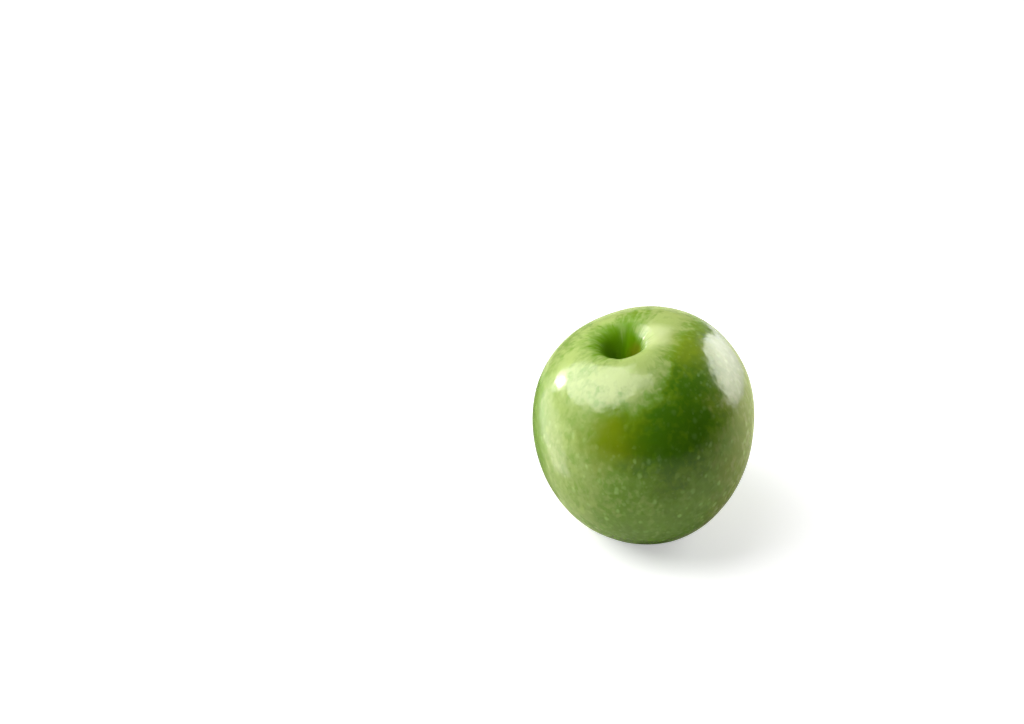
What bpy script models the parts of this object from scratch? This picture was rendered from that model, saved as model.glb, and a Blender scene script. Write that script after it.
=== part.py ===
"""A whole green apple standing on the floor: the fruit, a short stem stub and the dried calyx.

Lengths are in metres. Up is +Z, the front is -Y, and the lobes round the base rest on Z = 0.
"""

import math

import bpy

MM = 0.001

# Main form of the fruit
WIDEST_RADIUS = 38.0 * MM
RISE_ABOVE_WIDEST = 37.8 * MM
DROP_BELOW_WIDEST = 44.5 * MM
SHOULDER_FULLNESS = 2.2  # 2 is an ellipse, more is squarer
TAPER_FULLNESS = 1.97

# Cross-section: a little oval and a little three-sided, as shares of the radius
OVAL_SHARE = 0.018
OVAL_DIRECTION = math.radians(82.5)
THREE_SIDED_SHARE = 0.015
THREE_SIDED_DIRECTION = math.radians(52.0)

# Stem cavity, off centre to the left and wider on its far left side
CAVITY_X = -7.0 * MM
CAVITY_Y = -0.5 * MM
CAVITY_DEPTH = 15.5 * MM
CAVITY_RADIUS = 5.3 * MM  # where it is half as deep, on average
CAVITY_WIDER_SHARE = 0.25
CAVITY_WIDER_DIRECTION = math.radians(150.0)
CAVITY_STEEPNESS = 3.1

# Broad shallow dip in the shoulder, at the far left of the cavity
DIP_X = -15.0 * MM
DIP_Y = 9.0 * MM
DIP_DEPTH = 1.6 * MM
DIP_RADIUS = 13.0 * MM

# Basin under the fruit, with the lobes that the apple stands on
BASIN_DEPTH = 11.0 * MM
BASIN_RADIUS = 10.0 * MM
BASIN_STEEPNESS = 3.5
LOBES = 5
LOBE_HEIGHT = 0.6 * MM
LOBE_RING = 14.5 * MM
LOBE_WIDTH = 6.5 * MM
FLAT_TRIM = 0.3 * MM  # taken off the lobes, so that the apple stands on flats

# Stem stub, in a socket in the floor of the cavity
STEM_RADIUS = 1.4 * MM
STEM_TIP_RADIUS = 1.8 * MM
STEM_ABOVE_FLOOR = 3.4 * MM
STEM_LEAN = -0.7 * MM
SOCKET_DEPTH = 1.6 * MM
CLEARANCE = 0.4 * MM

# Calyx: five dried sepals on a small disc
SEPALS = 5
SEPAL_REACH = 5.2 * MM
SEPAL_NOTCH = 1.9 * MM
SEPAL_THICKNESS = 0.8 * MM
SEPAL_CURL = 1.1 * MM

# Divisions of the meshes
FRUIT_RINGS = 54
FRUIT_SPOKES = 64
STEM_SPOKES = 16
CALYX_SPOKES = 40
CALYX_RINGS = 5


def cavity_below(distance, around):
    """How far the stem cavity lowers the skin at a distance and direction from the cavity's centre."""
    radius = CAVITY_RADIUS * (1 + CAVITY_WIDER_SHARE * math.cos(around - CAVITY_WIDER_DIRECTION))
    return CAVITY_DEPTH / (1 + (distance / radius) ** CAVITY_STEEPNESS)


def dip_below(x, y):
    """How far the broad dip lowers the shoulder."""
    return DIP_DEPTH * math.exp(-((x - DIP_X) ** 2 + (y - DIP_Y) ** 2) / DIP_RADIUS**2)


def basin_above(distance, around):
    """How far the basin raises the skin under the fruit, less the lobes round it."""
    hollow = BASIN_DEPTH / (1 + (distance / BASIN_RADIUS) ** BASIN_STEEPNESS)
    ring = math.exp(-(((distance - LOBE_RING) / LOBE_WIDTH) ** 2))
    return hollow - LOBE_HEIGHT * ring * math.cos(LOBES * around)


def dome(reach, height, fullness):
    """Height of the plain body over or under its widest level, at a share of the widest radius."""
    return height * (1 - min(reach, 1.0) ** fullness) ** (1 / fullness)


def skin_point(polar, around):
    """Point of the skin. polar runs from 0 in the stem cavity, by pi / 2 at the widest, to pi in the basin."""
    upper = polar < math.pi / 2
    fullness = SHOULDER_FULLNESS if upper else TAPER_FULLNESS
    spread = WIDEST_RADIUS * abs(math.sin(polar)) ** (2 / fullness)
    pull = math.cos(polar) ** 4 if upper else 0.0
    x = CAVITY_X * pull + spread * math.cos(around)
    y = CAVITY_Y * pull + spread * math.sin(around)
    reach = math.hypot(x, y) / WIDEST_RADIUS
    heading = math.atan2(y, x)
    if upper:
        z = dome(reach, RISE_ABOVE_WIDEST, fullness) - cavity_below(spread, around) - dip_below(x, y)
    else:
        z = basin_above(spread, heading) - dome(reach, DROP_BELOW_WIDEST, fullness)
    oval = OVAL_SHARE * math.cos(2 * (heading - OVAL_DIRECTION))
    three_sided = THREE_SIDED_SHARE * math.cos(3 * (heading - THREE_SIDED_DIRECTION))
    grow = 1 + oval + three_sided
    return (x * grow, y * grow, z)


def resting_shift():
    """The shift that centres the fruit over the origin and stands it on the floor."""
    samples = []
    for ring in range(1, 180):
        for spoke in range(180):
            samples.append(skin_point(math.pi * ring / 180, math.tau * spoke / 180))
    xs, ys, zs = zip(*samples)
    return (-(min(xs) + max(xs)) / 2, -(min(ys) + max(ys)) / 2, -min(zs) - FLAT_TRIM)


SHIFT = resting_shift()


def placed(point):
    """The point shifted to where the apple stands, with nothing under the floor."""
    x, y, z = (value + shift for value, shift in zip(point, SHIFT))
    return (x, y, max(z, 0.0))


def closed_mesh(name, rings, first_pole, last_pole):
    """One closed solid from rings that run from the top down, each anticlockwise from above."""
    spokes = len(rings[0])
    vertices = [first_pole] + [point for ring in rings for point in ring] + [last_pole]
    faces = []
    for spoke in range(spokes):
        following = (spoke + 1) % spokes
        faces.append((0, 1 + spoke, 1 + following))
        for row in range(len(rings) - 1):
            above = 1 + row * spokes
            below = above + spokes
            faces.append((above + spoke, below + spoke, below + following, above + following))
        bottom = 1 + (len(rings) - 1) * spokes
        faces.append((bottom + following, bottom + spoke, len(vertices) - 1))
    mesh = bpy.data.meshes.new(name)
    mesh.from_pydata(vertices, [], faces)
    mesh.validate()
    mesh.shade_smooth()
    mesh.set_sharp_from_angle(angle=math.radians(50))
    piece = bpy.data.objects.new(name, mesh)
    bpy.context.scene.collection.objects.link(piece)
    return piece


def circle(centre, radius, spokes):
    """Points of a level ring."""
    x, y, z = centre
    turns = [math.tau * spoke / spokes for spoke in range(spokes)]
    return [(x + radius * math.cos(turn), y + radius * math.sin(turn), z) for turn in turns]


def fruit_rings(socket_radius):
    """Rings of the skin from the socket's edge to the basin, closer together near both ends."""
    start = math.asin((socket_radius / WIDEST_RADIUS) ** (SHOULDER_FULLNESS / 2))
    rings = []
    for row in range(FRUIT_RINGS):
        share = row / FRUIT_RINGS
        eased = share - 0.75 * math.sin(math.tau * share) / math.tau
        polar = start + (math.pi - start) * eased
        rings.append(
            [placed(skin_point(polar, math.tau * spoke / FRUIT_SPOKES)) for spoke in range(FRUIT_SPOKES)]
        )
    return rings


def make_fruit(cavity_floor):
    """The fruit, with a round socket sunk in the floor of the stem cavity."""
    socket_radius = STEM_RADIUS + CLEARANCE
    rings = fruit_rings(socket_radius)
    x, y, z = cavity_floor
    socket_floor = (x, y, z - SOCKET_DEPTH)
    floor_ring = [(edge_x, edge_y, socket_floor[2]) for edge_x, edge_y, _ in rings[0]]
    basin_top = placed(skin_point(math.pi, 0.0))
    return closed_mesh("fruit", [floor_ring] + rings, socket_floor, basin_top)


def make_stem(cavity_floor):
    """A short stub that widens and leans a little towards its broken end."""
    x, y, z = cavity_floor
    bottom = z - SOCKET_DEPTH + CLEARANCE
    top = z + STEM_ABOVE_FLOOR
    # Share of the way up, and the radius there
    stations = [
        (1.0, 0.8 * STEM_TIP_RADIUS),
        (0.95, STEM_TIP_RADIUS),
        (0.75, 0.94 * STEM_TIP_RADIUS),
        (0.5, STEM_RADIUS),
        (0.25, STEM_RADIUS),
        (0.04, STEM_RADIUS),
        (0.0, 0.85 * STEM_RADIUS),
    ]
    rings = []
    for share, radius in stations:
        centre = (x + STEM_LEAN * share**2, y, bottom + (top - bottom) * share)
        rings.append(circle(centre, radius, STEM_SPOKES))
    tip = (x + STEM_LEAN, y, top)
    return closed_mesh("stem", rings, tip, (x, y, bottom))


def sepal_edge(around):
    """Distance of the calyx edge from its middle: long along the sepals, short between them."""
    share = (0.5 + 0.5 * math.cos(SEPALS * around)) ** 1.3
    return SEPAL_NOTCH + (SEPAL_REACH - SEPAL_NOTCH) * share


def basin_height(distance, around):
    """Height of the basin's skin above the floor, at a distance from the axis."""
    polar = math.pi - math.asin((distance / WIDEST_RADIUS) ** (TAPER_FULLNESS / 2))
    return placed(skin_point(polar, around))[2]


def make_calyx():
    """Five sepals that follow the basin just under its skin and curl down at the tips."""
    middle_x, middle_y, middle_z = placed((0.0, 0.0, -DROP_BELOW_WIDEST + BASIN_DEPTH))
    rings_above = []
    rings_below = []
    for row in range(1, CALYX_RINGS + 1):
        share = row / CALYX_RINGS
        above = []
        below = []
        for spoke in range(CALYX_SPOKES):
            around = math.tau * spoke / CALYX_SPOKES
            distance = share * sepal_edge(around)
            x = middle_x + distance * math.cos(around)
            y = middle_y + distance * math.sin(around)
            curl = SEPAL_CURL * (distance / SEPAL_REACH) ** 3
            top = basin_height(distance, around) - 1.5 * CLEARANCE - curl
            thickness = SEPAL_THICKNESS * (1 - 0.4 * share)
            above.append((x, y, top))
            below.append((x, y, top - thickness))
        rings_above.append(above)
        rings_below.append(below)
    top_pole = (middle_x, middle_y, middle_z - 1.5 * CLEARANCE)
    bottom_pole = (middle_x, middle_y, middle_z - 1.5 * CLEARANCE - SEPAL_THICKNESS)
    return closed_mesh("calyx", rings_above + rings_below[::-1], top_pole, bottom_pole)


def add_material(piece, name, colour, roughness):
    """Gives the piece its own plain material."""
    material = bpy.data.materials.new(name)
    material.use_nodes = True
    shader = material.node_tree.nodes["Principled BSDF"]
    shader.inputs["Base Color"].default_value = (*colour, 1.0)
    shader.inputs["Roughness"].default_value = roughness
    shader.inputs["Metallic"].default_value = 0.0
    piece.data.materials.append(material)


for leftover in list(bpy.data.objects):
    bpy.data.objects.remove(leftover, do_unlink=True)

floor_of_cavity = placed(skin_point(0.0, 0.0))
fruit = make_fruit(floor_of_cavity)
add_material(fruit, "apple_skin", (0.16, 0.31, 0.035), 0.3)
stem = make_stem(floor_of_cavity)
add_material(stem, "stem_wood", (0.13, 0.065, 0.028), 0.75)
calyx = make_calyx()
add_material(calyx, "dried_calyx", (0.10, 0.06, 0.03), 0.85)
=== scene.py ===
"""Looks of the green apple: waxed skin with pale spots, a woody stem stub and a dried calyx.

The apple stands on a white floor in soft studio light. Lengths are in metres, in the frame of the
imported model: up is +Z and the camera looks along +Y.
"""

import math
import random

import bpy
import numpy as np
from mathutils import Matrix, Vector, noise


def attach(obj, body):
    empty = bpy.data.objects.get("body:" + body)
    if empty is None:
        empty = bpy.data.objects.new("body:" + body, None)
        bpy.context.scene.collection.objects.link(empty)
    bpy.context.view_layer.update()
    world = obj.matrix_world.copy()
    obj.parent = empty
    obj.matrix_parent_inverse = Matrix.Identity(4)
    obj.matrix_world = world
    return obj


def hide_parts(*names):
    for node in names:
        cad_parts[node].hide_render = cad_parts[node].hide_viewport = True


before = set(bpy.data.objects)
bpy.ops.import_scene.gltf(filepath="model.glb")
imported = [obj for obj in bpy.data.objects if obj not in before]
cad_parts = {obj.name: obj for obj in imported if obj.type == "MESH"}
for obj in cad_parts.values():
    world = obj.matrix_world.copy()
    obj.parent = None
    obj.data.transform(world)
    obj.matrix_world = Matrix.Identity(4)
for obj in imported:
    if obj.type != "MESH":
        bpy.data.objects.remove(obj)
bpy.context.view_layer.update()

MM = 0.001

# The fruit's form, as in the solids
WIDEST_RADIUS = 38.0 * MM
RISE_ABOVE_WIDEST = 37.8 * MM
DROP_BELOW_WIDEST = 44.5 * MM
SHOULDER_FULLNESS = 2.2
TAPER_FULLNESS = 1.97
OVAL_SHARE = 0.018
OVAL_DIRECTION = math.radians(82.5)
THREE_SIDED_SHARE = 0.015
THREE_SIDED_DIRECTION = math.radians(52.0)
CAVITY_X = -7.0 * MM
CAVITY_Y = -0.5 * MM
CAVITY_DEPTH = 15.5 * MM
CAVITY_RADIUS = 5.3 * MM
CAVITY_WIDER_SHARE = 0.25
CAVITY_WIDER_DIRECTION = math.radians(150.0)
CAVITY_STEEPNESS = 3.1
DIP_X = -15.0 * MM
DIP_Y = 9.0 * MM
DIP_DEPTH = 1.6 * MM
DIP_RADIUS = 13.0 * MM
BASIN_DEPTH = 11.0 * MM
BASIN_RADIUS = 10.0 * MM
BASIN_STEEPNESS = 3.5
LOBES = 5
LOBE_HEIGHT = 0.6 * MM
LOBE_RING = 14.5 * MM
LOBE_WIDTH = 6.5 * MM
FLAT_TRIM = 0.3 * MM

# Stem stub and calyx, as in the solids
STEM_RADIUS = 1.4 * MM
STEM_TIP_RADIUS = 1.8 * MM
STEM_ABOVE_FLOOR = 3.4 * MM
STEM_LEAN = -0.7 * MM
SOCKET_DEPTH = 1.6 * MM
CLEARANCE = 0.4 * MM
SEPALS = 5
SEPAL_REACH = 5.2 * MM

# Relief of the skin
SWELL_SIZE = 21 * MM
SWELL_HEIGHT = 0.22 * MM
DENT_SIZE = 8 * MM
DENT_HEIGHT = 0.07 * MM
RIPPLE_SIZE = 3.2 * MM
RIPPLE_HEIGHT = 0.02 * MM
CREASE_HEIGHT = 0.16 * MM
FINE_CREASE_HEIGHT = 0.02 * MM
CREASE_RING = 8 * MM  # distance from the cavity's middle where the creases are deepest
CREASE_RING_WIDTH = 5.5 * MM

# Relief of the stem's broken end
END_HOLLOW = 0.35 * MM
END_MIDDLE_HOLLOW = 0.4 * MM
END_ROUGHNESS = 0.22 * MM
END_GRAIN = 0.8 * MM

# Sepals and stamens
SEPAL_START = 0.8 * MM
SEPAL_BELOW_SKIN = 0.9 * MM
SEPAL_HALF_WIDTH = 1.45 * MM
SEPAL_HALF_THICKNESS = 0.22 * MM
SEPAL_WRINKLE = 0.16 * MM
SEPAL_CUP = -0.5 * MM
THREAD_RADIUS = 0.11 * MM

# Divisions of the fine meshes
SKIN_RINGS = 250
SKIN_SPOKES = 360
STEM_ROWS = 44
STEM_SPOKES = 48
SEPAL_ROWS = 22
SEPAL_POINTS = 20
THREAD_ROWS = 8
THREAD_POINTS = 7
THREADS = 15

# Colours of the skin, from the deepest green to the palest; the pale end also serves as painted light
SKIN_COLOURS = (
    (0.00, (0.059, 0.164, 0.003)),
    (0.25, (0.122, 0.243, 0.006)),
    (0.50, (0.172, 0.318, 0.041)),
    (0.75, (0.296, 0.406, 0.112)),
    (1.00, (0.362, 0.475, 0.142)),
)
SPOT_LIGHTENING = (0.160, 0.210, 0.115)
CAVITY_GREEN = (0.106, 0.250, 0.001)
# Painted highlight: a pale patch at the right of the cavity's rim, and where it lies
PAINTED_HIGHLIGHT_PALE = (0.560, 0.650, 0.300)
PAINTED_HIGHLIGHT_PLACE = (2.2 * MM, 1.0 * MM, 74.5 * MM)
RUSSET = (0.125, 0.155, 0.004)
RUSSET_STAIN = (3.4 * MM, 2.4 * MM, 6.0 * MM)  # from the floor of the cavity, low on its right wall
KHAKI = (0.228, 0.275, 0.022)
KHAKI_STREAK = (0.380, 0.420, 0.150)
# Blushes: colour, place, strength, and the distances over which they fade
BLUSHES = (
    ((0.173, 0.248, 0.002), (-12.5 * MM, -32 * MM, 56.5 * MM), 0.92, 3.5 * MM, 15.5 * MM),
    ((0.235, 0.330, 0.008), (12 * MM, -5 * MM, 74 * MM), 0.55, 2 * MM, 12 * MM),
)
# Greener places round the cavity: place and strength
GREENER_PLACES = (((-3 * MM, 15 * MM, 74 * MM), 0.5), ((-18 * MM, -8 * MM, 71 * MM), 0.3))

# Colours of the stem and the calyx
BARK_DARK = (0.045, 0.022, 0.010)
BARK_BROWN = (0.19, 0.105, 0.050)
BARK_PALE = (0.26, 0.18, 0.11)
STEM_FOOT_GREEN = (0.10, 0.11, 0.025)
STEM_END_PALE = (0.30, 0.21, 0.13)
SEPAL_DARK = (0.050, 0.030, 0.016)
SEPAL_BROWN = (0.17, 0.11, 0.055)
SEPAL_GREY_GREEN = (0.16, 0.15, 0.07)

# The photograph's frame and camera
FRAME_WIDTH = 1024
FRAME_HEIGHT = 724
CAMERA_ELEVATION = math.radians(38.0)
CAMERA_DISTANCE = 0.742
SENSOR_WIDTH = 36.0
FOCAL_LENGTH = 77.3
AIM_HEIGHT = 38.0 * MM
AIM_COLUMN = 643.1  # pixels of the photograph where the aimed point shows
AIM_ROW = 424.1

WHITE = (1.0, 1.0, 1.0, 1.0)

# Studio lights. The corners of a panel are the directions in which a point of the skin sees them,
# as degrees right of the front and degrees above level
SOFTBOX_SEEN_FROM = (-12 * MM, -17 * MM, 68 * MM)
SOFTBOX_DISTANCE = 0.85
SOFTBOX_CORNERS = (
    (-101, 12),
    (-83, 23),
    (-65, 31),
    (-57, 41),
    (-52, 54),
    (-46, 64),
    (-38, 73),
    (0, 83),
    (160, 81),
    (-138, 70),
    (-118, 50),
    (-122, 15),
)
SOFTBOX_OUTER_RADIANCE = 6.2
SOFTBOX_INNER_RADIANCE = 3.2
SOFTBOX_FADE = (-0.75, 0.05)  # along X
WING_CORNERS = (
    (-118, 2),
    (-110, 15),
    (-108, 50),
    (-138, 68),
    (-156, 57),
    (-148, 44),
    (-140, 32),
    (-134, 19),
    (-132, 2),
)
WING_RADIANCE = 5.0
KEY_SEEN_FROM = (-28 * MM, -8 * MM, 63 * MM)
KEY_DIRECTION = (-121, 5)
KEY_DISTANCE = 0.6
KEY_SIZE = 0.10
KEY_POWER = 0.7  # watts
WINDOW_SEEN_FROM = (26 * MM, -3 * MM, 66 * MM)
WINDOW_DISTANCE = 0.27
WINDOW_CORNERS = (
    (106, -8),
    (104, 8),
    (110, 22),
    (121, 29),
    (139, 27),
    (147, 20),
    (151, 10),
    (156, -8),
    (159, -13),
    (122, -13),
)
WINDOW_LOW_RADIANCE = 3.0
WINDOW_HIGH_RADIANCE = 5.6
WINDOW_FADE = (0.02, 0.12)  # along Z
FLAG_SEEN_FROM = (-35 * MM, -5 * MM, 50 * MM)
FLAG_DISTANCE = 0.16
FLAG_CORNERS = ((-141, 8), (-143, -24), (-178, -24), (-178, 8))
FLAG_GREEN = (0.17, 0.21, 0.07, 1.0)

# Cards that lie just over the floor, as X and Y
BRIGHT_CARD = (
    (-0.122, 0.076),
    (-0.090, 0.032),
    (-0.077, 0.006),
    (-0.062, -0.008),
    (-0.062, -0.028),
    (-0.098, -0.027),
    (-0.209, -0.012),
    (-0.400, 0.030),
    (-0.400, 0.300),
)
DARK_CARD = (
    (-0.080, 0.060),
    (-0.068, 0.030),
    (-0.055, 0.008),
    (-0.035, -0.004),
    (0.000, 0.010),
    (0.000, 0.090),
    (-0.090, 0.090),
)
RIGHT_CARD = (
    (0.066, 0.161),
    (0.090, 0.150),
    (0.104, 0.118),
    (0.165, 0.119),
    (0.202, 0.097),
    (0.259, 0.143),
    (0.126, 0.286),
    (0.085, 0.250),
)
BRIGHT_CARD_RADIANCE = 2.6
BRIGHT_CARD_TINT = (1.0, 0.97, 0.84, 1.0)
RIGHT_CARD_RADIANCE = 1.6
CARD_HEIGHT = 2 * MM

# Floor and surroundings
FLOOR_HALF_WIDTH = 3.0
FLOOR_WHITE = (0.82, 0.82, 0.82)
FLOOR_GLOW = 0.48  # only the camera sees it
FLOOR_BOUNCE = (0.60, 0.65, 0.38)  # the floor's colour in the light that it throws back on the apple
BACKDROP_STRENGTH = 0.95
ROOM_FRONT_STRENGTH = 0.02
ROOM_BACK_STRENGTH = 0.5
ROOM_TINT = (1.0, 1.0, 0.25, 1.0)  # the room's colour in the skin's gloss


def smooth_step(value, low, high):
    """0 below low, 1 above high and a smooth rise between, for numbers or arrays."""
    share = np.clip((value - low) / (high - low), 0.0, 1.0)
    return share * share * (3 - 2 * share)


def dome(reach, height, fullness):
    """Height of the plain body over or under its widest level, at a share of the widest radius."""
    return height * (1 - np.minimum(reach, 1.0) ** fullness) ** (1 / fullness)


def skin_points(polar, around):
    """Points of the skin for arrays of angles, before the apple is set on the floor."""
    upper = polar < math.pi / 2
    fullness = np.where(upper, SHOULDER_FULLNESS, TAPER_FULLNESS)
    spread = WIDEST_RADIUS * np.abs(np.sin(polar)) ** (2 / fullness)
    pull = np.where(upper, np.cos(polar) ** 4, 0.0)
    x = CAVITY_X * pull + spread * np.cos(around)
    y = CAVITY_Y * pull + spread * np.sin(around)
    reach = np.hypot(x, y) / WIDEST_RADIUS
    heading = np.arctan2(y, x)
    cavity_radius = CAVITY_RADIUS * (1 + CAVITY_WIDER_SHARE * np.cos(around - CAVITY_WIDER_DIRECTION))
    cavity = CAVITY_DEPTH / (1 + (spread / cavity_radius) ** CAVITY_STEEPNESS)
    dip = DIP_DEPTH * np.exp(-((x - DIP_X) ** 2 + (y - DIP_Y) ** 2) / DIP_RADIUS**2)
    hollow = BASIN_DEPTH / (1 + (spread / BASIN_RADIUS) ** BASIN_STEEPNESS)
    ring = np.exp(-(((spread - LOBE_RING) / LOBE_WIDTH) ** 2))
    basin = hollow - LOBE_HEIGHT * ring * np.cos(LOBES * heading)
    top = dome(reach, RISE_ABOVE_WIDEST, SHOULDER_FULLNESS) - cavity - dip
    bottom = basin - dome(reach, DROP_BELOW_WIDEST, TAPER_FULLNESS)
    z = np.where(upper, top, bottom)
    oval = OVAL_SHARE * np.cos(2 * (heading - OVAL_DIRECTION))
    three_sided = THREE_SIDED_SHARE * np.cos(3 * (heading - THREE_SIDED_DIRECTION))
    grow = 1 + oval + three_sided
    return np.stack([x * grow, y * grow, z], axis=-1)


def resting_shift():
    """The shift that centres the fruit over the origin and stands it on the floor."""
    polar = math.pi * np.arange(1, 180)[:, None] / 180
    around = math.tau * np.arange(180)[None, :] / 180
    samples = skin_points(polar, around).reshape(-1, 3)
    low = samples.min(axis=0)
    high = samples.max(axis=0)
    return np.array([-(low[0] + high[0]) / 2, -(low[1] + high[1]) / 2, -low[2] - FLAT_TRIM])


SHIFT = resting_shift()
CAVITY_FLOOR = Vector(skin_points(np.array(1e-6), np.array(0.0)) + SHIFT)
BASIN_TOP = Vector(skin_points(np.array(math.pi - 1e-6), np.array(0.0)) + SHIFT)
UPWARD = Vector((0, 0, 1))


def grid_normals(grid):
    """Outward unit normals of a grid of rings that run from the top down."""
    down = np.gradient(grid, axis=0)
    onward = np.roll(grid, -1, axis=1) - np.roll(grid, 1, axis=1)
    normals = np.cross(down, onward)
    return normals / (np.linalg.norm(normals, axis=-1, keepdims=True) + 1e-12)


def unevenness(point):
    """Height of the skin's small swells and hollows at a point, in metres."""
    swell = noise.noise(point / SWELL_SIZE)
    dent = noise.noise(point / DENT_SIZE + Vector((7, 3, 5)))
    ripple = noise.noise(point / RIPPLE_SIZE + Vector((1, 9, 4)))
    return SWELL_HEIGHT * swell + DENT_HEIGHT * dent + RIPPLE_HEIGHT * ripple


def cavity_folds(point):
    """Height of the fine creases that run down into the stem cavity, at a point."""
    away = point - CAVITY_FLOOR
    distance = math.hypot(away.x, away.y)
    if distance < 1e-5 or away.z < -1 * MM:
        return 0.0
    direction = Vector((away.x, away.y, 0)) / distance
    crease = noise.noise(Vector((direction.x * 3.2, direction.y * 3.2, distance / (16 * MM))))
    fine = noise.noise(Vector((direction.x * 9, direction.y * 9, distance / (12 * MM))))
    near_ring = math.exp(-(((distance - CREASE_RING) / CREASE_RING_WIDTH) ** 2))
    return (CREASE_HEIGHT * crease + FINE_CREASE_HEIGHT * fine) * near_ring


def closed_shell(rings, first_pole, last_pole):
    """Vertices and faces of a closed shell.

    Seen along the way from the first pole to the last, the rings turn anticlockwise.
    """
    spokes = len(rings[0])
    vertices = [first_pole] + [point for ring in rings for point in ring] + [last_pole]
    faces = []
    for spoke in range(spokes):
        following = (spoke + 1) % spokes
        faces.append((0, 1 + spoke, 1 + following))
        for row in range(len(rings) - 1):
            above = 1 + row * spokes
            below = above + spokes
            faces.append((above + spoke, below + spoke, below + following, above + following))
        bottom = 1 + (len(rings) - 1) * spokes
        faces.append((bottom + following, bottom + spoke, len(vertices) - 1))
    return vertices, faces


def mesh_object(name, shells):
    """One smooth object from closed shells."""
    vertices = []
    faces = []
    for shell_vertices, shell_faces in shells:
        first = len(vertices)
        vertices.extend(shell_vertices)
        faces.extend(tuple(first + corner for corner in face) for face in shell_faces)
    mesh = bpy.data.meshes.new(name)
    mesh.from_pydata(vertices, [], faces)
    mesh.validate()
    mesh.shade_smooth()
    piece = bpy.data.objects.new(name, mesh)
    bpy.context.scene.collection.objects.link(piece)
    return piece


def make_skin():
    """The whole fruit at fine resolution, with the swells and creases of real skin."""
    rows = np.arange(1, SKIN_RINGS)[:, None] / SKIN_RINGS
    polar = math.pi * (rows - 0.75 * np.sin(math.tau * rows) / math.tau)
    around = math.tau * np.arange(SKIN_SPOKES)[None, :] / SKIN_SPOKES
    grid = skin_points(polar, around) + SHIFT
    normals = grid_normals(grid)
    clear_of_floor = smooth_step(grid[..., 2], 0.3 * MM, 5 * MM)
    rings = []
    for row in range(grid.shape[0]):
        ring = []
        for spoke in range(grid.shape[1]):
            point = Vector(grid[row, spoke])
            height = (unevenness(point) + cavity_folds(point)) * clear_of_floor[row, spoke]
            point += Vector(normals[row, spoke]) * height
            point.z = max(point.z, 0.0)
            ring.append(point)
        rings.append(ring)
    return mesh_object("apple_skin", [closed_shell(rings, CAVITY_FLOOR, BASIN_TOP)])


def stem_radius(share):
    """Radius of the stem at a share of its height: a swollen foot and a wider broken end."""
    foot = 0.12 * math.exp(-((share - 0.2) / 0.12) ** 2)
    widening = (STEM_TIP_RADIUS / STEM_RADIUS - 1) * smooth_step(share, 0.5, 0.9)
    rounding = 0.10 * smooth_step(share, 0.94, 1.0)
    return STEM_RADIUS * (0.92 + foot + widening - rounding)


def make_stem():
    """Woody stub with ridges along it and a rough, hollowed broken end."""
    x, y, z = CAVITY_FLOOR
    bottom = z - SOCKET_DEPTH + CLEARANCE
    height = STEM_ABOVE_FLOOR + SOCKET_DEPTH - CLEARANCE
    turns = [math.tau * spoke / STEM_SPOKES for spoke in range(STEM_SPOKES)]
    outward = [Vector((math.cos(turn), math.sin(turn), 0)) for turn in turns]
    tip = Vector((x + STEM_LEAN, y, bottom + height))
    rings = []
    for inset in (0.25, 0.5, 0.7, 0.85):
        ring = []
        for out in outward:
            point = tip + out * stem_radius(1.0) * inset
            hollow = END_HOLLOW * (1 - inset)
            roughness = END_ROUGHNESS * noise.noise(point / END_GRAIN)
            ring.append(point - Vector((0, 0, hollow - roughness)))
        rings.append(ring)
    for row in range(STEM_ROWS + 1):
        share = 1 - row / STEM_ROWS
        centre = Vector((x + STEM_LEAN * share**2, y, bottom + height * share))
        ring = []
        for out in outward:
            ridge = noise.noise(out * 2.4 + Vector((0, 0, 1.6 * share)))
            fibre = noise.noise(out * 8 + Vector((5, 0, 4 * share)))
            ring.append(centre + out * stem_radius(share) * (1 + 0.14 * ridge + 0.07 * fibre))
        rings.append(ring)
    end_middle = tip - UPWARD * END_MIDDLE_HOLLOW
    return mesh_object("stem_stub", [closed_shell(rings, end_middle, (x, y, bottom))])


def basin_height(distance, around):
    """Height of the basin's skin above the floor, at a distance from the axis."""
    polar = math.pi - math.asin((distance / WIDEST_RADIUS) ** (TAPER_FULLNESS / 2))
    return float(skin_points(np.array(polar), np.array(around))[2] + SHIFT[2])


def flat_ring(centre, across, upward, half_width, half_thickness, points, cup=0.0):
    """Flattened ring round a leaf or thread; cup lifts its sides, or lowers them where it is negative."""
    ring = []
    for step in range(points):
        turn = math.tau * step / points
        side = math.sin(turn)
        lift = half_thickness * math.cos(turn) + cup * side * side
        ring.append(centre + across * (half_width * side) + upward * lift)
    return ring


def make_sepal(turn, length, curl, twist):
    """One dried sepal that lies along the basin, narrows to a point and curls down at its tip."""
    out = Vector((math.cos(turn), math.sin(turn), 0))
    across = Vector((-math.sin(turn), math.cos(turn), 0))
    centre = Vector((SHIFT[0], SHIFT[1], 0))
    rings = []
    for row in range(1, SEPAL_ROWS):
        share = row / SEPAL_ROWS
        distance = SEPAL_START + length * share
        point = centre + out * distance + across * (twist * share**2)
        wrinkle = SEPAL_WRINKLE * noise.noise(point / (1.3 * MM))
        point.z = basin_height(distance, turn) - SEPAL_BELOW_SKIN - curl * share**2.4 + wrinkle
        ragged = 1 + 0.22 * noise.noise(Vector((turn * 3, share * 9, 2.0)))
        half_width = SEPAL_HALF_WIDTH * (1 - share) ** 0.75 * (0.55 + 1.25 * share) * ragged
        half_thickness = SEPAL_HALF_THICKNESS * (1 - 0.6 * share)
        cup = SEPAL_CUP * share
        rings.append(flat_ring(point, across, UPWARD, half_width, half_thickness, SEPAL_POINTS, cup))
    start = 0.75 * SEPAL_START
    first = centre + out * start
    first.z = basin_height(start, turn) - SEPAL_BELOW_SKIN
    last = sum(rings[-1], Vector()) / SEPAL_POINTS + out * 0.1 * MM
    return closed_shell(rings, first, last)


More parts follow.
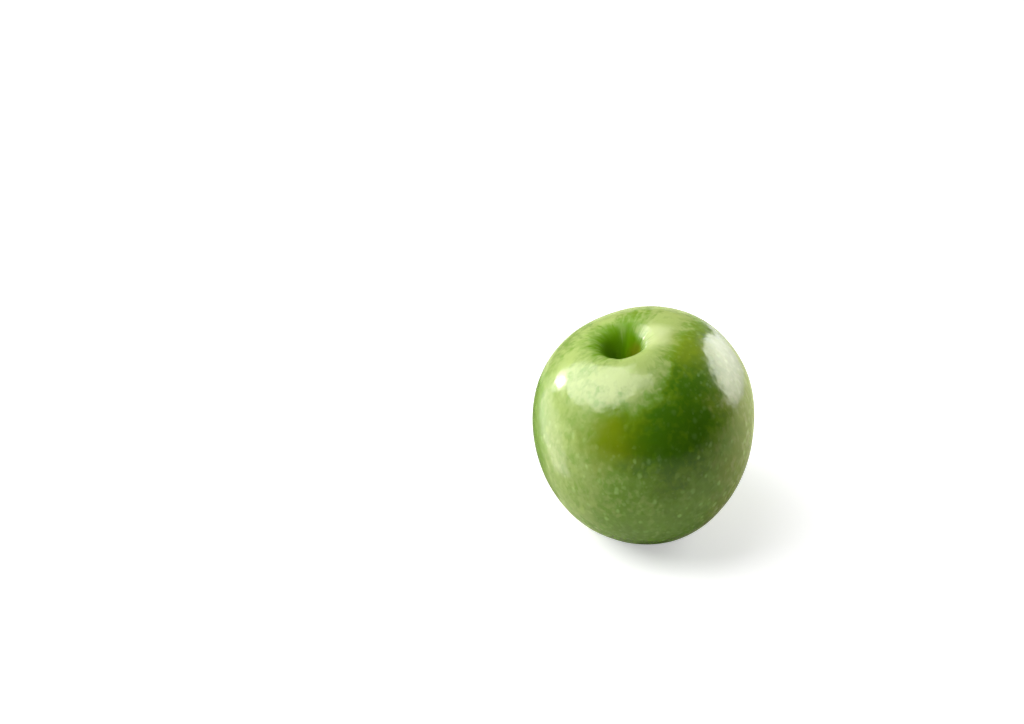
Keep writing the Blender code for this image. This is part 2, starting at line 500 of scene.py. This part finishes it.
def make_thread(turn, distance, length, lean):
    """One dried stamen that hangs from the middle of the basin and ends in a small knob."""
    out = Vector((math.cos(turn), math.sin(turn), 0))
    across = Vector((-math.sin(turn), math.cos(turn), 0))
    start = Vector((SHIFT[0], SHIFT[1], BASIN_TOP.z - 0.4 * MM)) + out * distance
    rings = []
    for row in range(THREAD_ROWS + 1):
        share = row / THREAD_ROWS
        centre = start + out * (lean * share**1.5) - Vector((0, 0, length * share))
        radius = THREAD_RADIUS * (1 + 0.9 * math.exp(-((share - 0.93) / 0.08) ** 2))
        rings.append(flat_ring(centre, across, out, radius, radius, THREAD_POINTS))
    return closed_shell(rings, start + UPWARD * (0.1 * MM), rings[-1][0] * 0.5 + rings[-1][3] * 0.5)


def make_calyx():
    """Five ragged sepals round a tuft of dried stamens."""
    chance = random.Random(5)
    shells = []
    for sepal in range(SEPALS):
        turn = math.tau * sepal / SEPALS + chance.uniform(-0.12, 0.12)
        length = (SEPAL_REACH - SEPAL_START) * chance.uniform(0.84, 1.0)
        curl = chance.uniform(0.3, 1.1) * MM
        twist = chance.uniform(-0.7, 0.7) * MM
        shells.append(make_sepal(turn, length, curl, twist))
    for thread in range(THREADS):
        turn = math.tau * thread / THREADS + chance.uniform(-0.15, 0.15)
        length = chance.uniform(1.1, 2.1) * MM
        distance = chance.uniform(0.5, 1.2) * MM
        lean = chance.uniform(-0.2, 0.5) * MM
        shells.append(make_thread(turn, distance, length, lean))
    return mesh_object("dried_calyx", shells)


class Shader:
    """Adds nodes to one material and links them."""

    def __init__(self, name):
        self.material = bpy.data.materials.new(name)
        self.material.use_nodes = True
        self.tree = self.material.node_tree
        self.surface = self.tree.nodes["Principled BSDF"]
        self.place = self.add("ShaderNodeTexCoord").outputs["Object"]

    def add(self, kind, **settings):
        """New node of a kind, with its settings."""
        node = self.tree.nodes.new(kind)
        for key, value in settings.items():
            setattr(node, key, value)
        return node

    def put(self, socket, value):
        """Links an output to a socket, or sets the socket's own value."""
        if isinstance(value, bpy.types.NodeSocket):
            self.tree.links.new(value, socket)
        else:
            socket.default_value = value

    def math(self, operation, first, second=0.0):
        """Result of an operation on one or two numbers."""
        node = self.add("ShaderNodeMath", operation=operation)
        self.put(node.inputs[0], first)
        self.put(node.inputs[1], second)
        return node.outputs[0]

    def vector(self, operation, first, second):
        """Result of an operation on two vectors, a number for their distance."""
        node = self.add("ShaderNodeVectorMath", operation=operation)
        self.put(node.inputs[0], first)
        self.put(node.inputs[1], second)
        return node.outputs["Value" if operation == "DISTANCE" else "Vector"]

    def split(self, value):
        """The three parts of a vector."""
        node = self.add("ShaderNodeSeparateXYZ")
        self.put(node.inputs[0], value)
        return node.outputs

    def join(self, x, y, z):
        """Vector of three parts."""
        node = self.add("ShaderNodeCombineXYZ")
        for socket, value in zip(node.inputs, (x, y, z)):
            self.put(socket, value)
        return node.outputs[0]

    def noise(self, where, scale, detail=3.0, roughness=0.5, distortion=0.0):
        """Noise round a half; the scale counts its marks to one unit of the place."""
        node = self.add("ShaderNodeTexNoise")
        self.put(node.inputs["Vector"], where)
        self.put(node.inputs["Scale"], scale)
        self.put(node.inputs["Detail"], detail)
        self.put(node.inputs["Roughness"], roughness)
        self.put(node.inputs["Distortion"], distortion)
        return node.outputs["Fac"]

    def rise(self, value, low, high, start=0.0, end=1.0):
        """Smooth rise from start to end while the value goes from low to high."""
        node = self.add("ShaderNodeMapRange", interpolation_type="SMOOTHSTEP")
        self.put(node.inputs["Value"], value)
        self.put(node.inputs["From Min"], low)
        self.put(node.inputs["From Max"], high)
        self.put(node.inputs["To Min"], start)
        self.put(node.inputs["To Max"], end)
        return node.outputs["Result"]

    def blend(self, factor, first, second, mode="MIX"):
        """Colour between first and second, or their mix in another mode."""
        node = self.add("ShaderNodeMix", data_type="RGBA", blend_type=mode)
        self.put(node.inputs["Factor"], factor)
        for socket, value in zip((node.inputs[6], node.inputs[7]), (first, second)):
            self.put(socket, value if isinstance(value, bpy.types.NodeSocket) else (*value, 1.0))
        return node.outputs[2]

    def bump(self, height, depth, strength=1.0, after=None):
        """Normal tilted by a height, on top of an earlier bump."""
        node = self.add("ShaderNodeBump")
        self.put(node.inputs["Height"], height)
        self.put(node.inputs["Distance"], depth)
        self.put(node.inputs["Strength"], strength)
        if after is not None:
            self.put(node.inputs["Normal"], after)
        return node.outputs["Normal"]

    def mad(self, value, factor, addend):
        """value * factor + addend."""
        node = self.add("ShaderNodeMath", operation="MULTIPLY_ADD")
        for socket, part in zip(node.inputs, (value, factor, addend)):
            self.put(socket, part)
        return node.outputs[0]

    def centred(self, value):
        """The value less a half."""
        return self.math("SUBTRACT", value, 0.5)

    def ramp(self, value, stops):
        """Colour that runs through the stops, each a position and a colour."""
        node = self.add("ShaderNodeValToRGB")
        self.put(node.inputs["Fac"], value)
        elements = node.color_ramp.elements
        while len(elements) < len(stops):
            elements.new(0.5)
        for element, (position, colour) in zip(elements, stops):
            element.position = position
            element.color = (*colour, 1.0)
        return node.outputs["Color"]


def warped(shader, scale, reach):
    """The object's coordinates, pushed about by noise, so that marks get uneven edges."""
    node = shader.add("ShaderNodeTexNoise")
    shader.put(node.inputs["Vector"], shader.place)
    shader.put(node.inputs["Scale"], scale)
    centred = shader.vector("SUBTRACT", node.outputs["Color"], (0.5, 0.5, 0.5))
    return shader.vector("ADD", shader.place, shader.vector("MULTIPLY", centred, (reach, reach, reach)))


def spots(shader, where, cell, radius):
    """Soft pale spots of uneven size and strength, one to a cell."""
    node = shader.add("ShaderNodeTexVoronoi", feature="F1")
    shader.put(node.inputs["Vector"], where)
    shader.put(node.inputs["Scale"], 1 / cell)
    size_chance, strength_chance, _ = shader.split(node.outputs["Color"])
    edge = shader.mad(size_chance, 0.5 * radius / cell, 0.6 * radius / cell)
    middle = shader.math("MULTIPLY", edge, 0.3)
    spot = shader.rise(node.outputs["Distance"], middle, edge, 1.0, 0.0)
    return shader.math("MULTIPLY", spot, shader.rise(strength_chance, 0.1, 0.9, 0.15, 1.0))


def cavity_coordinates(shader):
    """Coordinates round the stem cavity.

    They are the distance from its middle, that distance as a share of its radius, a place for streaks
    that run down its slope, and how far it lies to the right, from -1 to 1.
    """
    side_x, side_y, _ = shader.split(shader.vector("SUBTRACT", shader.place, tuple(CAVITY_FLOOR)))
    squared = shader.math("ADD", shader.math("POWER", side_x, 2.0), shader.math("POWER", side_y, 2.0))
    distance = shader.math("SQRT", squared)
    toward_x = shader.math("DIVIDE", side_x, distance)
    toward_y = shader.math("DIVIDE", side_y, distance)
    wider_x = shader.math("MULTIPLY", toward_x, math.cos(CAVITY_WIDER_DIRECTION))
    wider_y = shader.math("MULTIPLY", toward_y, math.sin(CAVITY_WIDER_DIRECTION))
    wider = shader.math("ADD", wider_x, wider_y)
    radius = shader.mad(wider, CAVITY_WIDER_SHARE * CAVITY_RADIUS, CAVITY_RADIUS)
    share = shader.mad(wider, -0.35, shader.math("DIVIDE", distance, radius))
    _, _, z = shader.split(shader.place)
    along = shader.mad(z, -0.8, distance)
    radial_place = shader.join(
        shader.math("MULTIPLY", toward_x, 8.0),
        shader.math("MULTIPLY", toward_y, 8.0),
        shader.math("MULTIPLY", along, 200.0),
    )
    return distance, share, radial_place, toward_x


def paleness_and_painted_light(shader, streaks):
    """How pale the skin is, and X pushed about by noise.

    It is palest round the cavity and on the left, middling low down and on the right, and deep green
    in the upper front. This is partly the apple's own tone and partly painted light: the left and the
    top round the cavity, where the softbox falls, are painted paler, and the upper front, which faces
    the dark front of the room, is painted deeper green as shade.
    """
    x, y, z = shader.split(shader.place)
    broad = shader.centred(shader.noise(shader.place, 26.0, 2.0, 0.5))
    clouds = shader.centred(shader.noise(shader.place, 75.0, 3.0, 0.55, 0.5))
    shifted_x = shader.mad(clouds, 22 * MM, shader.mad(broad, 20 * MM, x))
    shifted_z = shader.mad(clouds, 30 * MM, shader.mad(broad, 20 * MM, z))
    # Partly painted light: the left side, where the softbox falls, is paler, less so at the very edge
    left = shader.rise(shifted_x, -4 * MM, -22 * MM, 0.0, 0.77)
    left = shader.math("SUBTRACT", left, shader.rise(x, -31 * MM, -37 * MM, 0.0, 0.45))
    right = shader.rise(shader.mad(z, -0.4, shifted_x), -12 * MM, 8 * MM, 0.0, 0.42)
    low = shader.rise(shifted_z, 56 * MM, 36 * MM, 0.0, 0.48)
    lowest = shader.rise(shader.mad(x, -0.5, shifted_z), 30 * MM, 12 * MM, 0.0, 0.22)
    low = shader.math("SUBTRACT", low, lowest)
    sides = shader.math("MAXIMUM", left, shader.math("MAXIMUM", right, low))
    across = shader.mad(streaks, 14 * MM, shader.mad(clouds, 26 * MM, shader.mad(y, -0.45, x)))
    # Partly painted light: the top round the cavity and to its left and back is paler where the light
    # falls
    left_of_cavity = shader.rise(across, 22 * MM, 2 * MM, 0.0, 1.08)
    top = shader.math("MULTIPLY", left_of_cavity, shader.rise(shifted_z, 61 * MM, 71 * MM))
    for place, strength in GREENER_PLACES:
        gap = shader.vector("DISTANCE", warped(shader, 90.0, 14 * MM), place)
        top = shader.math("SUBTRACT", top, shader.rise(gap, 4 * MM, 12 * MM, strength, 0.0))
    return shader.math("MAXIMUM", sides, top), shifted_x


def marbled(shader, level, distance, streaks, radial_place):
    """The skin's tone broken up by mottling, upright flecks and fine grain, and streaked round the cavity.
    """
    x, _, z = shader.split(shader.place)
    mottle = shader.centred(shader.noise(warped(shader, 200.0, 3 * MM), 230.0, 3.0, 0.55, 0.6))
    squeezed = shader.vector("MULTIPLY", warped(shader, 350.0, 1.6 * MM), (1.0, 1.0, 0.6))
    flecks = shader.rise(shader.noise(squeezed, 480.0, 1.0, 0.4, 0.3), 0.45, 0.70, -0.06, 0.16)
    grain = shader.centred(shader.noise(shader.place, 1500.0, 2.0, 0.5))
    leftward = shader.rise(x, 0.0, -18 * MM, 1.0, 1.15)
    leftmost = shader.rise(x, -35 * MM, -25 * MM, 0.4, 1.0)
    downward = shader.rise(z, 72 * MM, 45 * MM, 0.5, 1.0)
    strength = shader.math("MULTIPLY", downward, shader.math("MULTIPLY", leftward, leftmost))
    fine = shader.mad(mottle, 0.6, shader.mad(grain, 0.10, flecks))
    level = shader.math("ADD", level, shader.math("MULTIPLY", fine, strength))
    near_cavity = shader.rise(distance, 32 * MM, 16 * MM, 0.0, 0.7)
    level = shader.math("ADD", level, shader.math("MULTIPLY", streaks, near_cavity))
    finer_place = shader.vector("MULTIPLY", radial_place, (1.25, 1.25, 1.5))
    dashes = shader.rise(shader.noise(finer_place, 1.0, 1.0, 0.4, 0.5), 0.42, 0.68, -0.07, 0.17)
    off_outside = shader.rise(distance, 32 * MM, 20 * MM)
    off_inside = shader.rise(distance, 8 * MM, 14 * MM)
    dashes = shader.math("MULTIPLY", dashes, shader.math("MULTIPLY", off_outside, off_inside))
    return shader.math("ADD", level, dashes)


def add_blushes(shader, colour):
    """Warmer greens that fade out from their places."""
    for tint, place, strength, near, far in BLUSHES:
        gap = shader.vector("DISTANCE", warped(shader, 110.0, 16 * MM), place)
        colour = shader.blend(shader.rise(gap, near, far, strength, 0.0), colour, tint)
    return colour


def add_khaki(shader, colour, shifted_x):
    """Khaki on the right side, with pale upright streaks that are weaker towards the back."""
    rightmost = shader.rise(shifted_x, 18 * MM, 30 * MM)
    colour = shader.blend(shader.math("MULTIPLY", rightmost, 0.75), colour, KHAKI)
    upright = shader.vector("MULTIPLY", warped(shader, 300.0, 2 * MM), (1.0, 1.0, 0.5))
    streaks = shader.rise(shader.noise(upright, 520.0, 2.0, 0.5), 0.44, 0.70, 0.0, 0.85)
    _, y, _ = shader.split(shader.place)
    toward_front = shader.rise(y, 12 * MM, -12 * MM, 0.45, 1.0)
    shown = shader.math("MULTIPLY", shader.math("MULTIPLY", streaks, rightmost), toward_front)
    return shader.blend(shown, colour, KHAKI_STREAK)


def add_painted_highlight(shader, colour):
    """Painted highlight: a pale patch at the right of the cavity, where the rim catches the light."""
    gap = shader.vector("DISTANCE", warped(shader, 160.0, 6 * MM), PAINTED_HIGHLIGHT_PLACE)
    return shader.blend(shader.rise(gap, 2.5 * MM, 8.5 * MM, 0.85, 0.0), colour, PAINTED_HIGHLIGHT_PALE)


def add_spots(shader, colour):
    """Soft pale spots in two sizes, unevenly strong: strongest low down in front and at the right."""
    x, y, z = shader.split(shader.place)
    squeezed = shader.vector("MULTIPLY", warped(shader, 420.0, 1.1 * MM), (1.0, 1.0, 0.75))
    patchy = shader.rise(shader.noise(shader.place, 90.0, 2.0), 0.35, 0.62, 0.6, 1.0)
    low = shader.rise(z, 60 * MM, 44 * MM, 0.26, 1.0)
    right = shader.rise(x, 6 * MM, 20 * MM, 0.0, 0.45)
    off_left = shader.rise(x, -34 * MM, -16 * MM, 0.5, 1.0)
    off_back = shader.rise(y, 20 * MM, -10 * MM, 0.6, 1.0)
    strength = shader.math("MULTIPLY", patchy, shader.math("MULTIPLY", off_left, off_back))
    strength = shader.math("MULTIPLY", strength, shader.math("ADD", low, right))
    large = shader.math("MULTIPLY", spots(shader, squeezed, 3.0 * MM, 1.25 * MM), strength)
    small = shader.math("MULTIPLY", spots(shader, squeezed, 1.9 * MM, 0.75 * MM), strength)
    both = shader.math("MINIMUM", shader.mad(small, 0.5, large), 1.0)
    return shader.blend(both, colour, SPOT_LIGHTENING, mode="ADD")


def colour_cavity(shader, colour, distance, uneven_share, streaks, upper):
    """Green inside of the stem cavity, with russet on its floor and a little on its right wall."""
    green = shader.math("MULTIPLY", shader.rise(uneven_share, 2.2, 0.9, 0.0, 0.97), upper)
    colour = shader.blend(green, colour, CAVITY_GREEN)
    russet_edge = shader.mad(streaks, -6 * MM, distance)
    russet = shader.math("MULTIPLY", shader.rise(russet_edge, 4.5 * MM, 1.5 * MM), upper)
    colour = shader.blend(russet, colour, RUSSET)
    stain_place = tuple(CAVITY_FLOOR + Vector(RUSSET_STAIN))
    stain_gap = shader.vector("DISTANCE", warped(shader, 300.0, 3 * MM), stain_place)
    return shader.blend(shader.rise(stain_gap, 1.5 * MM, 5.2 * MM, 0.9, 0.0), colour, RUSSET)


def skin_material():
    """Waxed green skin: mottled, streaked round the cavity, dotted with pale spots and glossy."""
    shader = Shader("apple_skin")
    place = shader.place
    distance, share, radial_place, toward_x = cavity_coordinates(shader)
    streaks = shader.centred(shader.noise(radial_place, 1.0, 2.0, 0.5, 0.6))
    uneven_share = shader.mad(streaks, -2.0, share)
    # The marks of the cavity stay on the upper side, off the basin under it
    upper = shader.rise(shader.split(place)[2], 52 * MM, 62 * MM)
    # Tone of the skin with painted light: paler where the light falls on the left and round the cavity
    level, shifted_x = paleness_and_painted_light(shader, streaks)
    colour = shader.ramp(marbled(shader, level, distance, streaks, radial_place), SKIN_COLOURS)
    colour = add_blushes(shader, colour)
    colour = add_khaki(shader, colour, shifted_x)
    # Painted highlight at the right of the cavity's rim
    colour = add_painted_highlight(shader, colour)
    colour = add_spots(shader, colour)
    colour = colour_cavity(shader, colour, distance, uneven_share, streaks, upper)

    surface = shader.surface
    shader.put(surface.inputs["Base Color"], colour)
    roughness = shader.rise(shader.noise(place, 260.0, 3.0, 0.6), 0.35, 0.65, 0.15, 0.25)
    shader.put(surface.inputs["Roughness"], roughness)
    surface.inputs["IOR"].default_value = 1.5
    # The cavity's inside is dull, apart from its right wall
    hollow = shader.math("MULTIPLY", shader.rise(uneven_share, 3.0, 1.7), upper)
    dull = shader.math("MULTIPLY", hollow, shader.rise(toward_x, 0.40, 0.70, 1.0, 0.1))
    shader.put(surface.inputs["Specular IOR Level"], shader.mad(dull, -0.60, 0.62))
    surface.inputs["Specular Tint"].default_value = (1.0, 1.0, 0.8, 1.0)
    shader.put(surface.inputs["Coat Weight"], shader.mad(dull, -0.12, 0.12))
    surface.inputs["Coat Roughness"].default_value = 0.06
    surface.inputs["Subsurface Weight"].default_value = 0.12
    surface.inputs["Subsurface Radius"].default_value = (0.6, 1.0, 0.25)
    surface.inputs["Subsurface Scale"].default_value = 0.002

    pores = shader.noise(place, 900.0, 2.0, 0.5)
    waves = shader.noise(place, 300.0, 2.0, 0.5)
    normal = shader.bump(waves, 0.16 * MM, 0.75)
    normal = shader.bump(pores, 0.015 * MM, 0.6, normal)
    shader.put(surface.inputs["Normal"], normal)
    shader.put(surface.inputs["Coat Normal"], normal)
    return shader.material


def stem_material():
    """Dry brown bark with fibres along it, greener at the foot and pale at the broken end."""
    shader = Shader("stem_wood")
    _, _, z = shader.split(shader.place)
    fibre_place = shader.vector("MULTIPLY", shader.place, (1.0, 1.0, 0.16))
    fibres = shader.noise(fibre_place, 2600.0, 3.0, 0.6, 0.3)
    colour = shader.blend(shader.rise(fibres, 0.35, 0.65), BARK_DARK, BARK_BROWN)
    blotches = shader.noise(shader.place, 700.0, 2.0, 0.5)
    colour = shader.blend(shader.rise(blotches, 0.55, 0.75, 0.0, 0.6), colour, BARK_PALE)
    foot = shader.rise(z, CAVITY_FLOOR.z + 1.6 * MM, CAVITY_FLOOR.z, 0.0, 0.6)
    colour = shader.blend(foot, colour, STEM_FOOT_GREEN)
    top = CAVITY_FLOOR.z + STEM_ABOVE_FLOOR
    colour = shader.blend(shader.rise(z, top - 0.3 * MM, top, 0.0, 0.7), colour, STEM_END_PALE)
    shader.put(shader.surface.inputs["Base Color"], colour)
    shader.put(shader.surface.inputs["Roughness"], shader.rise(fibres, 0.3, 0.7, 0.85, 0.65))
    normal = shader.bump(fibres, 0.08 * MM, 0.8)
    shader.put(shader.surface.inputs["Normal"], normal)
    return shader.material


def calyx_material():
    """Dried sepals: mottled brown and grey-green, with fine veins and a little down."""
    shader = Shader("dried_calyx")
    fine = shader.noise(shader.place, 1600.0, 3.0, 0.6, 0.5)
    blotches = shader.noise(shader.place, 420.0, 2.0, 0.5)
    colour = shader.blend(shader.rise(fine, 0.35, 0.65), SEPAL_DARK, SEPAL_BROWN)
    colour = shader.blend(shader.rise(blotches, 0.5, 0.72, 0.0, 0.7), colour, SEPAL_GREY_GREEN)
    shader.put(shader.surface.inputs["Base Color"], colour)
    shader.surface.inputs["Roughness"].default_value = 0.85
    shader.surface.inputs["Sheen Weight"].default_value = 0.25
    shader.surface.inputs["Sheen Roughness"].default_value = 0.5
    normal = shader.bump(fine, 0.06 * MM, 0.8)
    shader.put(shader.surface.inputs["Normal"], normal)
    return shader.material


def finish_piece(piece, material, node):
    """Gives a piece its material and its place in the table."""
    piece.data.materials.append(material)
    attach(piece, "root")
    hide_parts(node)


def heading(azimuth, elevation):
    """Unit vector for degrees right of the front and degrees above level."""
    turn = math.radians(azimuth)
    rise = math.radians(elevation)
    return Vector((math.sin(turn) * math.cos(rise), -math.cos(turn) * math.cos(rise), math.sin(rise)))


def panel_points(seen_from, distance, corners):
    """Corners of a flat panel, in the directions in which a point of the skin sees them.

    Those that would be under the floor are lifted to just over it.
    """
    directions = [heading(*corner) for corner in corners]
    facing = sum(directions, Vector()).normalized()
    points = []
    for direction in directions:
        point = Vector(seen_from) + direction * (distance / direction.dot(facing))
        points.append((point.x, point.y, max(point.z, CARD_HEIGHT)))
    return points


def card_points(corners):
    """Corners of a card that lies just over the floor."""
    return [(x, y, CARD_HEIGHT) for x, y in corners]


def flat_sheet(name, points):
    """Flat object with one face through the points."""
    mesh = bpy.data.meshes.new(name)
    mesh.from_pydata(points, [], [range(len(points))])
    sheet = bpy.data.objects.new(name, mesh)
    bpy.context.scene.collection.objects.link(sheet)
    return sheet


def glowing_panel(name, points, radiance, end_radiance=None, axis=0, span=(0.0, 1.0), tint=WHITE):
    """Flat sheet of light, hidden from the camera; its radiance may change over a span of one axis."""
    panel = flat_sheet(name, points)
    shader = Shader(name)
    surface = shader.surface
    surface.inputs["Base Color"].default_value = (0.0, 0.0, 0.0, 1.0)
    surface.inputs["Specular IOR Level"].default_value = 0.0
    surface.inputs["Emission Color"].default_value = tint
    surface.inputs["Emission Strength"].default_value = radiance
    if end_radiance is not None:
        along = shader.split(shader.place)[axis]
        shader.put(surface.inputs["Emission Strength"], shader.rise(along, *span, radiance, end_radiance))
    panel.data.materials.append(shader.material)
    panel.visible_camera = False
    panel.visible_shadow = False
    return panel


def only_in_reflections(panel):
    """Hides a panel from everything but the skin's gloss."""
    panel.visible_camera = False
    panel.visible_diffuse = False
    panel.visible_shadow = False


def dark_panel(name, points):
    """Flat dark green sheet that only reflections show."""
    panel = flat_sheet(name, points)
    shader = Shader(name)
    shader.surface.inputs["Base Color"].default_value = FLAG_GREEN
    shader.surface.inputs["Roughness"].default_value = 0.8
    panel.data.materials.append(shader.material)
    only_in_reflections(panel)


def add_cards():
    """Bright cards at the left and behind at the right, and dark ones that darken the left outline."""
    bright = card_points(BRIGHT_CARD)
    only_in_reflections(glowing_panel("bright_card", bright, BRIGHT_CARD_RADIANCE, tint=BRIGHT_CARD_TINT))
    only_in_reflections(glowing_panel("right_card", card_points(RIGHT_CARD), RIGHT_CARD_RADIANCE))
    dark_panel("dark_card", card_points(DARK_CARD))
    dark_panel("flag", panel_points(FLAG_SEEN_FROM, FLAG_DISTANCE, FLAG_CORNERS))


def add_key_light():
    """Small strong round light at the left, which leaves a white glint in the skin."""
    data = bpy.data.lights.new("key_light", "AREA")
    data.shape = "DISK"
    data.size = KEY_SIZE
    data.energy = KEY_POWER
    direction = heading(*KEY_DIRECTION)
    key = bpy.data.objects.new("key_light", data)
    key.location = Vector(KEY_SEEN_FROM) + direction * KEY_DISTANCE
    key.rotation_euler = direction.to_track_quat("Z", "Y").to_euler()
    bpy.context.scene.collection.objects.link(key)


def add_lights():
    """Softbox with a wing over the left and the top, window behind at the right, cards and key light."""
    softbox = panel_points(SOFTBOX_SEEN_FROM, SOFTBOX_DISTANCE, SOFTBOX_CORNERS)
    radiances = (SOFTBOX_OUTER_RADIANCE, SOFTBOX_INNER_RADIANCE)
    glowing_panel("softbox", softbox, *radiances, axis=0, span=SOFTBOX_FADE)
    wing = panel_points(SOFTBOX_SEEN_FROM, SOFTBOX_DISTANCE, WING_CORNERS)
    only_in_reflections(glowing_panel("softbox_wing", wing, WING_RADIANCE))
    window = panel_points(WINDOW_SEEN_FROM, WINDOW_DISTANCE, WINDOW_CORNERS)
    glowing_panel("window", window, WINDOW_LOW_RADIANCE, WINDOW_HIGH_RADIANCE, axis=2, span=WINDOW_FADE)
    add_cards()
    add_key_light()


def add_world():
    """Pale backdrop for the camera, and a room that is dark in front and tinted in the skin's gloss."""
    world = bpy.data.worlds.new("studio")
    bpy.context.scene.world = world
    world.use_nodes = True
    tree = world.node_tree
    background = tree.nodes["Background"]
    place = tree.nodes.new("ShaderNodeTexCoord")
    split = tree.nodes.new("ShaderNodeSeparateXYZ")
    tree.links.new(place.outputs["Generated"], split.inputs[0])
    behind = tree.nodes.new("ShaderNodeMapRange")
    behind.interpolation_type = "SMOOTHSTEP"
    behind.inputs["From Min"].default_value = -0.2
    behind.inputs["From Max"].default_value = 0.8
    behind.inputs["To Min"].default_value = ROOM_FRONT_STRENGTH
    behind.inputs["To Max"].default_value = ROOM_BACK_STRENGTH
    tree.links.new(split.outputs["Y"], behind.inputs["Value"])
    path = tree.nodes.new("ShaderNodeLightPath")
    choose = tree.nodes.new("ShaderNodeMix")
    choose.inputs["B"].default_value = BACKDROP_STRENGTH
    tree.links.new(path.outputs["Is Camera Ray"], choose.inputs["Factor"])
    tree.links.new(behind.outputs["Result"], choose.inputs["A"])
    tree.links.new(choose.outputs["Result"], background.inputs["Strength"])
    tint = tree.nodes.new("ShaderNodeMix")
    tint.data_type = "RGBA"
    tint.inputs[6].default_value = WHITE
    tint.inputs[7].default_value = ROOM_TINT
    tree.links.new(path.outputs["Is Glossy Ray"], tint.inputs["Factor"])
    tree.links.new(tint.outputs[2], background.inputs["Color"])


def add_floor():
    """Plain white floor."""
    half = FLOOR_HALF_WIDTH
    corners = [(-half, -half, 0), (half, -half, 0), (half, half, 0), (-half, half, 0)]
    floor = flat_sheet("floor", corners)
    shader = Shader("white_floor")
    shader.surface.inputs["Roughness"].default_value = 0.9
    shader.surface.inputs["Specular IOR Level"].default_value = 0.1
    shader.surface.inputs["Emission Color"].default_value = WHITE
    seen = shader.add("ShaderNodeLightPath").outputs["Is Camera Ray"]
    shader.put(shader.surface.inputs["Base Color"], shader.blend(seen, FLOOR_BOUNCE, FLOOR_WHITE))
    shader.put(shader.surface.inputs["Emission Strength"], shader.math("MULTIPLY", seen, FLOOR_GLOW))
    floor.data.materials.append(shader.material)


def add_camera():
    """Camera at the photograph's height and framing."""
    data = bpy.data.cameras.new("camera")
    data.sensor_width = SENSOR_WIDTH
    data.lens = FOCAL_LENGTH
    camera = bpy.data.objects.new("camera", data)
    ahead = Vector((0, math.cos(CAMERA_ELEVATION), -math.sin(CAMERA_ELEVATION)))
    rightward = Vector((1, 0, 0))
    upward = rightward.cross(ahead)
    focal_pixels = FOCAL_LENGTH / SENSOR_WIDTH * FRAME_WIDTH
    aside = (AIM_COLUMN - FRAME_WIDTH / 2) / focal_pixels * CAMERA_DISTANCE
    above = (FRAME_HEIGHT / 2 - AIM_ROW) / focal_pixels * CAMERA_DISTANCE
    aim = Vector((0, 0, AIM_HEIGHT))
    camera.location = aim - ahead * CAMERA_DISTANCE - rightward * aside - upward * above
    camera.rotation_euler = (math.pi / 2 - CAMERA_ELEVATION, 0, 0)
    bpy.context.scene.collection.objects.link(camera)
    bpy.context.scene.camera = camera


finish_piece(make_skin(), skin_material(), "fruit")
finish_piece(make_stem(), stem_material(), "stem")
finish_piece(make_calyx(), calyx_material(), "calyx")
add_camera()
add_lights()
add_world()
add_floor()
bpy.context.scene.view_settings.view_transform = "Standard"
